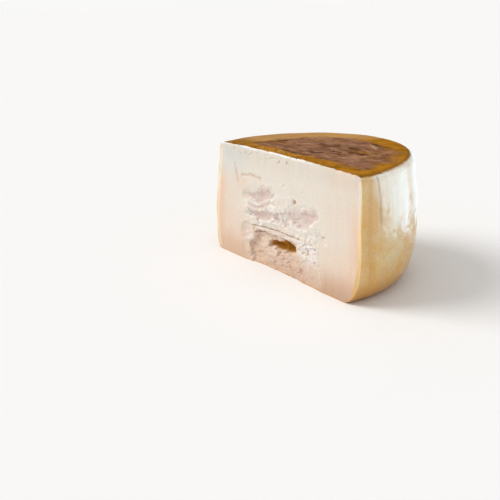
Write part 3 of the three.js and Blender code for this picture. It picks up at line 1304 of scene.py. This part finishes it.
@dataclass(frozen=True)
class PasteFinish:
    """Cut and broken paste: dense cream, warmer towards the rind, with painted warm shade towards the foot
    and brown painted shade in its deep places.
    """

    cream: Colour = (0.76, 0.71, 0.63)
    warm: Colour = (0.77, 0.56, 0.42)
    # blush of the hollows, partly painted shade in them
    blush_and_shade: Colour = (0.63, 0.47, 0.43)
    # painted cool light, laid over the upper left of the cut
    cool_light_tint: Colour = (0.68, 0.70, 0.67)
    fresh: Colour = (0.83, 0.795, 0.76)
    chalk_and_highlight: Colour = (0.93, 0.915, 0.885)  # the chipped top edge, partly a painted edge highlight
    ochre: Colour = (0.58, 0.36, 0.16)  # cracks and pits, partly painted shade in them
    deep_hollow_shade: Colour = (0.46, 0.20, 0.012)  # painted shade at the bottom of the deep hollow
    shade: Colour = (0.70, 0.63, 0.56)  # how much darker the foot is

    def shader(self, bench: Bench, place: bpy.types.NodeSocket) -> bpy.types.NodeSocket:
        """Build the paste's shader.

        Args:
            bench: the material it is added to.
            place: coordinates about the wheel's axis, in millimetres.

        Returns:
            The shader's socket.
        """
        signs = PasteSigns.read(bench, place)
        colour = self.cut_colour(bench, signs)
        colour = self.broken_colour(bench, signs, colour)
        colour = self.edge_colour(bench, signs, colour)
        relief = signs.grain * 0.5 + signs.crumbs * signs.broken
        return bench.coat_of(
            {
                "Base Color": colour,
                "Roughness": signs.broken.ease(0.0, 1.0, 0.48, 0.7),
                "Specular IOR Level": 0.35,
                "Subsurface Weight": 0.28,
                "Subsurface Radius": (1.0, 0.55, 0.3),
                "Subsurface Scale": 3.0 * MM,
                "Normal": bench.bump(relief, 0.45 * MM, 0.6),
            }
        )

    def cut_colour(self, bench: Bench, signs: PasteSigns) -> bpy.types.NodeSocket:
        """Colour the paste as the knife left it, with a painted cool light at the upper left and painted
        warm light and shade towards the foot.

        Args:
            bench: the material.
            signs: what the finish reads.

        Returns:
            The colour's socket.
        """
        across, height, clouds = signs.across, signs.height, signs.clouds
        near_rind = signs.away.ease(20.0, 1.0) * height.ease(108.0, 62.0, 0.0, 0.8)
        # low: painted warm light and shade, warmer and darker towards the foot.
        low = height.ease(66.0, -10.0, 0.0, 0.8)
        sides = (across - 8.0).size().ease(30.0, 100.0, 0.0, 0.36)
        warmth = (near_rind + low + sides + (clouds - 0.5) * 0.6).largest(0.0).smallest(1.0)
        colour = bench.blend(warmth, self.cream, self.warm)
        # Painted cool light towards the upper left of the cut.
        corner = height.ease(78.0, 106.0) * across.ease(-25.0, -85.0)
        colour = bench.blend(corner * clouds.ease(0.3, 0.6, 0.5, 1.0), colour, self.cool_light_tint)
        from_patch = across + 62.0
        patch_reach = from_patch * from_patch * 0.006 + (height - 82.0).size() * 0.07
        ochre_patch = patch_reach.ease(1.3, 0.0) * clouds.ease(0.3, 0.6, 0.1, 0.4)
        colour = bench.blend(ochre_patch, colour, self.warm)
        return bench.blend(signs.strokes.ease(0.4, 0.7, 0.0, 0.12), colour, self.fresh)

    def broken_colour(
        self, bench: Bench, signs: PasteSigns, colour: bpy.types.NodeSocket
    ) -> bpy.types.NodeSocket:
        """Colour the hollows, crumbs and cracks, with painted shade in the deep hollow and in pits, and
        partly painted shade in the other hollows, the slab's recess and the cracks.

        Args:
            bench: the material.
            signs: what the finish reads.
            colour: the colour of the cut around them.

        Returns:
            The colour's socket.
        """
        depth, height, crumbs = signs.depth, signs.height, signs.crumbs
        # Blush in the hollows, partly painted shade in them.
        rosy = height.ease(30.0, 48.0, 0.2, 1.0) * signs.clouds.ease(0.3, 0.6, 0.5, 1.0)
        sunken = depth.ease(0.5, 2.8) * (1.0 - signs.crumbly) * crumbs.ease(0.25, 0.5, 0.45, 1.0)
        colour = bench.blend(sunken * rosy, colour, self.blush_and_shade)
        crumbling = signs.crumbly.ease(0.15, 0.8) * 0.8 + signs.broken * 0.25
        flecks = (crumbling * crumbs.ease(0.4, 0.6)).smallest(1.0)
        colour = bench.blend(flecks, colour, self.fresh)
        # Warmer in the slab's recess below the ledge, partly painted shade.
        slab = depth.ease(2.0, 5.0) * height.ease(44.0, 34.0)
        colour = bench.blend(slab * 0.45, colour, self.warm)
        # Painted shade: brown at the bottom of the deep hollow.
        colour = bench.blend(depth.ease(6.5, 11.0), colour, self.deep_hollow_shade)
        # Ochre along cracks and in pits, partly painted shade in them.
        stain = bench.layer(Layer.STAIN).largest(0.0)
        colour = bench.blend(stain * 0.7, colour, self.ochre)
        return bench.blend(signs.grain.ease(0.35, 0.62, 0.0, 0.14), colour, self.warm, "MULTIPLY")

    def edge_colour(
        self, bench: Bench, signs: PasteSigns, colour: bpy.types.NodeSocket
    ) -> bpy.types.NodeSocket:
        """Paint shade on the foot and under the top, and whiten the chipped top edge, partly as a painted
        edge highlight.

        Args:
            bench: the material.
            signs: what the finish reads.
            colour: the colour of the paste.

        Returns:
            The colour's socket.
        """
        across, height = signs.across, signs.height
        unbroken = 1.0 - signs.broken * 0.35
        foot = height.ease(34.0, 0.0) * across.ease(-90.0, 40.0, 0.55, 1.0) * unbroken
        colour = bench.blend(foot, colour, self.shade, "MULTIPLY")
        dim = height.ease(96.0, 112.0) * signs.strokes.ease(0.35, 0.65, 0.08, 0.24)
        colour = bench.blend(dim, colour, self.shade, "MULTIPLY")
        # Whiter along the chipped top edge: partly a painted edge highlight.
        at_top = bench.layer(Layer.UP).ease(0.8, 0.95) * across.ease(70.0, 10.0, 0.1, 1.0)
        chipped = (signs.away + (signs.crumbs - 0.5) * 5.0).ease(2.4, 0.6)
        chipped = chipped * signs.clouds.ease(0.36, 0.6, 0.3, 1.0)
        return bench.blend(at_top * chipped, colour, self.chalk_and_highlight)


@dataclass(frozen=True)
class RindFinish:
    """Waxy rind of the flank: honey, with straw clouds, and an ochre foot that is partly painted shade."""

    honey: Colour = (0.80, 0.48, 0.125)
    straw: Colour = (0.78, 0.58, 0.27)
    ochre: Colour = (0.61, 0.285, 0.045)
    umber: Colour = (0.36, 0.17, 0.045)
    section: Colour = (0.86, 0.64, 0.38)  # where the cut goes through it
    pale: Colour = (0.74, 0.71, 0.64)  # the same near the top, paler partly as a painted sheen
    deep: Colour = (0.64, 0.40, 0.15)  # and near the foot
    straw_white: Colour = (0.92, 0.76, 0.56)  # and at the left end

    def shader(self, bench: Bench, place: bpy.types.NodeSocket) -> bpy.types.NodeSocket:
        """Build the flank's shader.

        Args:
            bench: the material it is added to.
            place: coordinates about the wheel's axis, in millimetres.

        Returns:
            The shader's socket.
        """
        _, _, height = bench.parts(place)
        clouds = bench.noise(place, (24.0, 24.0, 30.0), detail=5.0, rough=0.6, warp=0.3)
        bands = bench.noise(place, (8.0, 8.0, 90.0), detail=3.0)
        fine = bench.noise(place, 1.8, detail=5.0, rough=0.65)
        inner = bench.layer(Layer.SKIN).ease(0.2, 1.4)
        outside = self.outside_colour(bench, place, clouds, bands)
        outside = bench.blend(fine.ease(0.4, 0.7, 0.0, 0.18), outside, self.ochre, "MULTIPLY")
        colour = bench.blend(inner * 0.9, outside, self.section_colour(bench, place))
        spots = bench.noise(place, (12.0, 12.0, 10.0), detail=4.0, rough=0.55)
        worn_spots = (spots + height.ease(62.0, 88.0, -0.09, 0.07)).ease(0.34, 0.48, 0.25, 1.0)
        waxed = worn_spots * height.ease(2.0, 26.0, 0.3, 1.0) * (1.0 - inner)
        return bench.coat_of(
            {
                "Base Color": colour,
                "Roughness": clouds.ease(0.35, 0.65, 0.45, 0.6),
                "Specular IOR Level": 0.3,
                "Subsurface Weight": 0.1,
                "Subsurface Radius": (1.0, 0.5, 0.2),
                "Subsurface Scale": 2.0 * MM,
                "Coat Weight": waxed,
                "Coat Roughness": 0.18,
                "Coat IOR": 1.75,
                "Normal": bench.bump(fine * 0.35 + clouds + bands, 0.35 * MM, 0.4),
            }
        )

    def outside_colour(
        self, bench: Bench, place: bpy.types.NodeSocket, clouds: Signal, bands: Signal
    ) -> bpy.types.NodeSocket:
        """Colour the outside of the flank.

        Args:
            bench: the material.
            place: coordinates about the wheel's axis, in millimetres.
            clouds: its wide soft clouds.
            bands: its upright bands.

        Returns:
            The colour's socket.
        """
        _, back, height = bench.parts(place)
        specks = bench.noise(place, 3.4, detail=3.0, rough=0.6)
        colour = bench.blend(clouds.ease(0.4, 0.66), self.honey, self.straw)
        colour = bench.blend(bands.ease(0.48, 0.72) * 0.45, colour, self.ochre)
        # Ochre towards the foot, partly painted shade.
        low = height.ease(40.0, -4.0) * clouds.ease(0.2, 0.6, 0.4, 1.0)
        colour = bench.blend(low * 0.9, colour, self.ochre)
        stripe = (back + (clouds - 0.5) * 6.0).ease(-27.0, -22.0) * back.ease(-7.0, -14.0)
        colour = bench.blend(stripe * height.ease(116.0, 96.0, 0.0, 0.12), colour, self.ochre)
        # Painted shade: darker umber towards the foot.
        colour = bench.blend(height.ease(26.0, 0.0) * 0.45, colour, self.umber)
        colour = bench.blend(specks.ease(0.64, 0.74) * 0.25, colour, self.umber)
        # Painted shade along the crease: darker umber in its fold.
        crease = bench.layer(Layer.STAIN).largest(0.0)
        return bench.blend(crease * 0.95, colour, self.umber)

    def section_colour(self, bench: Bench, place: bpy.types.NodeSocket) -> bpy.types.NodeSocket:
        """Colour the rind where the cut goes through it.

        Args:
            bench: the material.
            place: coordinates about the wheel's axis, in millimetres.

        Returns:
            The colour's socket.
        """
        across, _, height = bench.parts(place)
        colour = bench.blend(height.ease(10.0, 70.0), self.deep, self.section)
        # Paler towards the top, partly a painted sheen.
        colour = bench.blend(height.ease(56.0, 100.0), colour, self.pale)
        return bench.blend(across.ease(20.0, -60.0, 0.0, 0.75), colour, self.straw_white)


@dataclass(frozen=True)
class CrownFinish:
    """Rim of the top: smooth amber, matt from the cloth."""

    amber: Colour = (0.42, 0.175, 0.014)
    bronze: Colour = (0.225, 0.092, 0.008)
    gold: Colour = (0.53, 0.26, 0.045)
    straw: Colour = (0.62, 0.38, 0.17)  # at the far left, and in flecks beside the crust

    def shader(self, bench: Bench, place: bpy.types.NodeSocket) -> bpy.types.NodeSocket:
        """Build the amber rim's shader.

        Args:
            bench: the material it is added to.
            place: coordinates about the wheel's axis, in millimetres.

        Returns:
            The shader's socket.
        """
        across, back, _ = bench.parts(place)
        clouds = bench.noise(place, 17.0, detail=5.0, rough=0.6, warp=0.6)
        fine = bench.noise(place, 2.2, detail=5.0, rough=0.65)
        darker_left = across.ease(-30.0, -80.0, 0.0, 0.14)
        colour = bench.blend((clouds - darker_left).ease(0.28, 0.64), self.bronze, self.amber)
        colour = bench.blend(fine.ease(0.46, 0.72) * 0.5, colour, self.gold)
        far = (back * 0.6 - across).ease(34.0, 66.0) * back.ease(-18.0, 8.0)
        colour = bench.blend(far * 0.5, colour, self.straw)
        rounding = bench.layer(Layer.UP).ease(0.995, 0.95) * (1.0 - far)
        colour = bench.blend(rounding * 0.7, colour, self.bronze)
        flecks = bench.noise(place, (2.6, 2.0, 2.0), detail=2.0, warp=0.8)
        beside_crust = back.ease(-24.0, -20.0) * back.ease(-11.0, -15.0) * across.ease(34.0, 10.0)
        colour = bench.blend(flecks.ease(0.56, 0.64) * beside_crust * 0.7, colour, self.straw)
        return bench.coat_of(
            {
                "Base Color": colour,
                "Roughness": clouds.ease(0.3, 0.7, 0.6, 0.8),
                "Specular IOR Level": 0.0,
                "Normal": bench.bump(clouds + fine * 0.4, 0.4 * MM, 0.6),
            }
        )


@dataclass(frozen=True)
class CrustFinish:
    """Dry brown middle of the top, matt and wrinkled."""

    plum: Colour = (0.215, 0.100, 0.056)
    umber: Colour = (0.070, 0.028, 0.012)
    rose: Colour = (0.36, 0.185, 0.110)
    scratch: Colour = (0.55, 0.34, 0.17)
    amber: Colour = (0.33, 0.14, 0.025)

    def shader(self, bench: Bench, place: bpy.types.NodeSocket) -> bpy.types.NodeSocket:
        """Build the crust's shader.

        Args:
            bench: the material it is added to.
            place: coordinates about the wheel's axis, in millimetres.

        Returns:
            The shader's socket.
        """
        blotch = bench.noise(place, (24.0, 15.0, 15.0), detail=5.0, rough=0.6, warp=0.8)
        streak = bench.noise(place, (19.0, 8.0, 9.0), detail=3.5, rough=0.5, warp=1.0)
        fine = bench.noise(place, 1.7, detail=4.0, rough=0.7)
        mark = bench.layer(Layer.STAIN)
        thin = bench.noise(place, (30.0, 18.0, 18.0), detail=5.0, rough=0.65, warp=0.6)
        colour = bench.blend(blotch.ease(0.38, 0.62), self.plum, self.rose)
        colour = bench.blend(thin.ease(0.48, 0.70) * 0.6, colour, self.amber)
        shadow = bench.noise(place, (26.0, 15.0, 15.0), detail=6.0, rough=0.62, warp=1.2)
        colour = bench.blend(shadow.ease(0.50, 0.70) * 0.4, colour, self.umber)
        colour = bench.blend(streak.ease(0.48, 0.74) * blotch.ease(0.68, 0.36) * 0.8, colour, self.umber)
        colour = bench.blend((1.0 - streak).ease(0.54, 0.80) * 0.4, colour, self.scratch)
        colour = bench.blend(mark.largest(0.0) * 0.8, colour, self.scratch)
        dark = (0.0 - mark).ease(0.05, 0.75) * shadow.ease(0.36, 0.58, 0.35, 0.92)
        colour = bench.blend(dark, colour, self.umber)
        return bench.coat_of(
            {
                "Base Color": colour,
                "Roughness": fine.ease(0.3, 0.7, 0.8, 0.95),
                "Specular IOR Level": 0.0,
                "Normal": bench.bump(streak + fine * 0.4, 0.6 * MM, 0.8),
            }
        )


@dataclass(frozen=True)
class WheelFinish:
    """Paste, flank, crown and crust, each where it belongs on the piece."""

    relief: RindRelief
    cut_line: float  # where the cut stands, in millimetres behind the axis
    paste: PasteFinish = PasteFinish()
    flank: RindFinish = RindFinish()
    crown: CrownFinish = CrownFinish()
    crust: CrustFinish = CrustFinish()

    def material(self, axis: Vector) -> bpy.types.Material:
        """Build the piece's material.

        Args:
            axis: where the wheel's axis meets the table.

        Returns:
            The material.
        """
        bench = Bench("cheese")
        place = bench.place(axis, MM)
        _, back, _ = bench.parts(place)
        share = bench.layer(Layer.RIND)
        up = bench.layer(Layer.UP)
        ragged = bench.noise(place, 3.0, detail=3.0) - 0.5
        rind_here = (share + ragged * 0.6).ease(1.6, 0.7)
        chips = bench.noise(place, (7.0, 3.0, 3.0), detail=4.0) - 0.5
        worn = (back + chips * 6.0).ease(self.cut_line + 1.5, self.cut_line + 0.6)
        rind_here = rind_here * (1.0 - worn * up.ease(0.4, 0.8))
        topped = bench.over(
            self.crust_share(bench, place),
            self.crown.shader(bench, place),
            self.crust.shader(bench, place),
        )
        shoulder = (up + ragged * 0.12).ease(0.74, 0.96)
        rind = bench.over(shoulder, self.flank.shader(bench, place), topped)
        whole = bench.over(rind_here, self.paste.shader(bench, place), rind)
        bench.node("ShaderNodeOutputMaterial", {}, {"Surface": whole})
        return bench.material

    def crust_share(self, bench: Bench, place: bpy.types.NodeSocket) -> Signal:
        """Find the dry middle of the top.

        Args:
            bench: the material.
            place: coordinates about the wheel's axis, in millimetres.

        Returns:
            1 on it, 0 on the rest of the rind.
        """
        x, y, _ = bench.parts(place)
        warp = (bench.noise(place, 24.0, detail=6.0, rough=0.6) - 0.5) * 34.0
        dx, dy = x - self.relief.patch_centre[0], y - self.relief.patch_centre[1]
        radius = (dx * dx + dy * dy).root() + warp
        inner = radius.ease(self.relief.patch_radius + 6.0, self.relief.patch_radius - 8.0)
        front = (y + warp * 0.35).ease(self.relief.patch_front - 4.0, self.relief.patch_front + 4.0)
        return inner * front


# ---- Studio ----


def toward(turn: float, rise: float) -> Vector:
    """Find a direction.

    Args:
        turn: degrees round from +X.
        rise: degrees above the table.

    Returns:
        The unit vector.
    """
    around, over = math.radians(turn), math.radians(rise)
    return Vector(
        (math.cos(over) * math.cos(around), math.cos(over) * math.sin(around), math.sin(over))
    )


@dataclass(frozen=True)
class Sun:
    """The key light, soft and even over the whole floor."""

    turn: float = -135.0
    rise: float = 42.0
    strength: float = 1.9
    spread: float = math.radians(34.0)
    colour: Colour = (1.0, 0.985, 0.96)

    def hang(self) -> None:
        """Add the light."""
        light = bpy.data.lights.new("key", "SUN")
        light.energy = self.strength
        light.angle = self.spread
        light.color = self.colour
        lamp = bpy.data.objects.new("key", light)
        lamp.rotation_euler = toward(self.turn, self.rise).to_track_quat("Z", "Y").to_euler()
        bpy.context.scene.collection.objects.link(lamp)


@dataclass(frozen=True)
class GlossPanel:
    """A bright panel that only shows as a reflection in what is glossy."""

    aside: float  # how far its middle stands to the right of the aim
    width: float
    radiance: float
    turn: float = 84.0
    away: float = 0.24
    height: float = 0.36
    colour: Colour = (0.44, 0.79, 1.1)

    def hang(self, aim: Vector) -> None:
        """Stand the panel on the floor behind the aim, facing forwards.

        Args:
            aim: where the wheel's axis meets the table.
        """
        outward = toward(self.turn, 0.0)
        beside = toward(self.turn - 90.0, 0.0)
        light = bpy.data.lights.new("window", "AREA")
        light.shape = "RECTANGLE"
        light.size, light.size_y = self.width, self.height
        light.energy = self.radiance * math.pi * self.width * self.height
        light.color = self.colour
        lamp = bpy.data.objects.new("window", light)
        foot = Vector((aim.x, aim.y, 0.0)) + outward * self.away + beside * self.aside
        lamp.location = foot + Vector((0.0, 0.0, self.height / 2.0))
        lamp.rotation_euler = outward.to_track_quat("Z", "Y").to_euler()
        lamp.visible_camera = False
        lamp.visible_diffuse = False
        bpy.context.scene.collection.objects.link(lamp)


@dataclass(frozen=True)
class Studio:
    """Pale floor, soft light and the camera."""

    camera_place: tuple[float, float, float] = (0.49845, -0.46740, 0.25797)
    camera_tilt: float = 70.032
    camera_roll: float = 1.832
    camera_heading: float = 53.441
    lens: float = 49.67
    floor_side: float = 80.0
    sky: float = 0.62
    floor_colour: Colour = (0.93, 0.925, 0.92)
    floor_mottle: float = 0.99  # the floor's darkest tone, as a share of its colour
    backdrop_share: float = 0.45  # how far away the sheet hangs, as a share of the floor's side
    backdrop_glow: float = 1.02
    key: Sun = Sun()
    windows: tuple[GlossPanel, ...] = (
        GlossPanel(aside=0.2985, width=0.057, radiance=2.1),
        GlossPanel(aside=0.1775, width=0.185, radiance=3.0),
        GlossPanel(aside=-0.043, width=0.256, radiance=0.85),
    )

    def set_camera(self) -> None:
        """Stand the camera."""
        camera = bpy.data.cameras.new("camera")
        camera.lens = self.lens
        stand = bpy.data.objects.new("camera", camera)
        stand.location = self.camera_place
        turns = (self.camera_tilt, self.camera_roll, self.camera_heading)
        stand.rotation_euler = Euler([math.radians(turn) for turn in turns], "XYZ")
        bpy.context.scene.collection.objects.link(stand)
        bpy.context.scene.camera = stand

    def lay_floor(self) -> None:
        """Lay the pale floor at table height."""
        deselect_all()
        bpy.ops.mesh.primitive_plane_add(size=self.floor_side, location=(0.0, 0.0, 0.0))
        floor = bpy.context.object
        floor.name = "floor"
        bench = Bench("floor")
        tone = bench.noise(bench.place(Vector(), 1.0), 0.6, detail=2.0)
        darker = tuple(self.floor_mottle * c for c in self.floor_colour)
        shader = bench.coat_of(
            {
                "Base Color": bench.blend(tone, self.floor_colour, darker),
                "Roughness": 0.9,
                "Specular IOR Level": 0.0,
            }
        )
        bench.node("ShaderNodeOutputMaterial", {}, {"Surface": shader})
        floor.data.materials.append(bench.material)

    def hang_backdrop(self) -> None:
        """Hang a sheet of the floor's tone at the far end of the floor, to hide the horizon."""
        away = Matrix.Rotation(math.radians(self.camera_heading), 3, "Z") @ Vector((0.0, 1.0, 0.0))
        deselect_all()
        bpy.ops.mesh.primitive_plane_add(
            size=self.floor_side,
            location=away * (self.backdrop_share * self.floor_side),
            rotation=(math.radians(90.0), 0.0, math.radians(self.camera_heading)),
        )
        sheet = bpy.context.object
        sheet.name = "backdrop"
        sheet.visible_diffuse = False
        sheet.visible_glossy = False
        sheet.visible_shadow = False
        bench = Bench("backdrop")
        shader = bench.coat_of(
            {
                "Base Color": (0.0, 0.0, 0.0, 1.0),
                "Specular IOR Level": 0.0,
                "Emission Color": self.floor_colour + (1.0,),
                "Emission Strength": self.backdrop_glow,
            }
        )
        bench.node("ShaderNodeOutputMaterial", {}, {"Surface": shader})
        sheet.data.materials.append(bench.material)

    def light(self, aim: Vector) -> None:
        """Light the room with an even sky, the key and the panels.

        Args:
            aim: where the wheel's axis meets the table.
        """
        scene = bpy.context.scene
        world = bpy.data.worlds.new("studio")
        world.use_nodes = True
        sky = world.node_tree.nodes["Background"]
        sky.inputs["Color"].default_value = (1.0, 1.0, 1.0, 1.0)
        sky.inputs["Strength"].default_value = self.sky
        scene.world = world
        scene.view_settings.view_transform = "Standard"
        self.key.hang()
        for window in self.windows:
            window.hang(aim)


def corners(pair: Sequence[Vector]) -> list[list[float]]:
    """A box's two corners as plain lists of numbers."""
    return [[float(c) for c in corner] for corner in pair]


def main() -> None:
    """Build the studio and the piece, in order."""
    logging.basicConfig(level=logging.INFO, format="%(name)s: %(message)s")
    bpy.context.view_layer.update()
    low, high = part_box(NODE)
    studio = Studio()
    studio.set_camera()
    studio.lay_floor()
    studio.hang_backdrop()

    wheel = CutWheel()
    finish = WheelFinish(relief=wheel.rind_relief, cut_line=-wheel.cut_offset / MM)
    piece, axis = wheel.build(low, high)
    studio.light(axis)
    piece.data.materials.clear()
    piece.data.materials.append(finish.material(axis))
    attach(piece, "root")
    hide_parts(NODE)
    triangles = sum(len(face.vertices) - 2 for face in piece.data.polygons)
    log.info("%s: %d triangles, axis at %s", piece.name, triangles, tuple(axis))


if __name__ == "__main__":
    main()
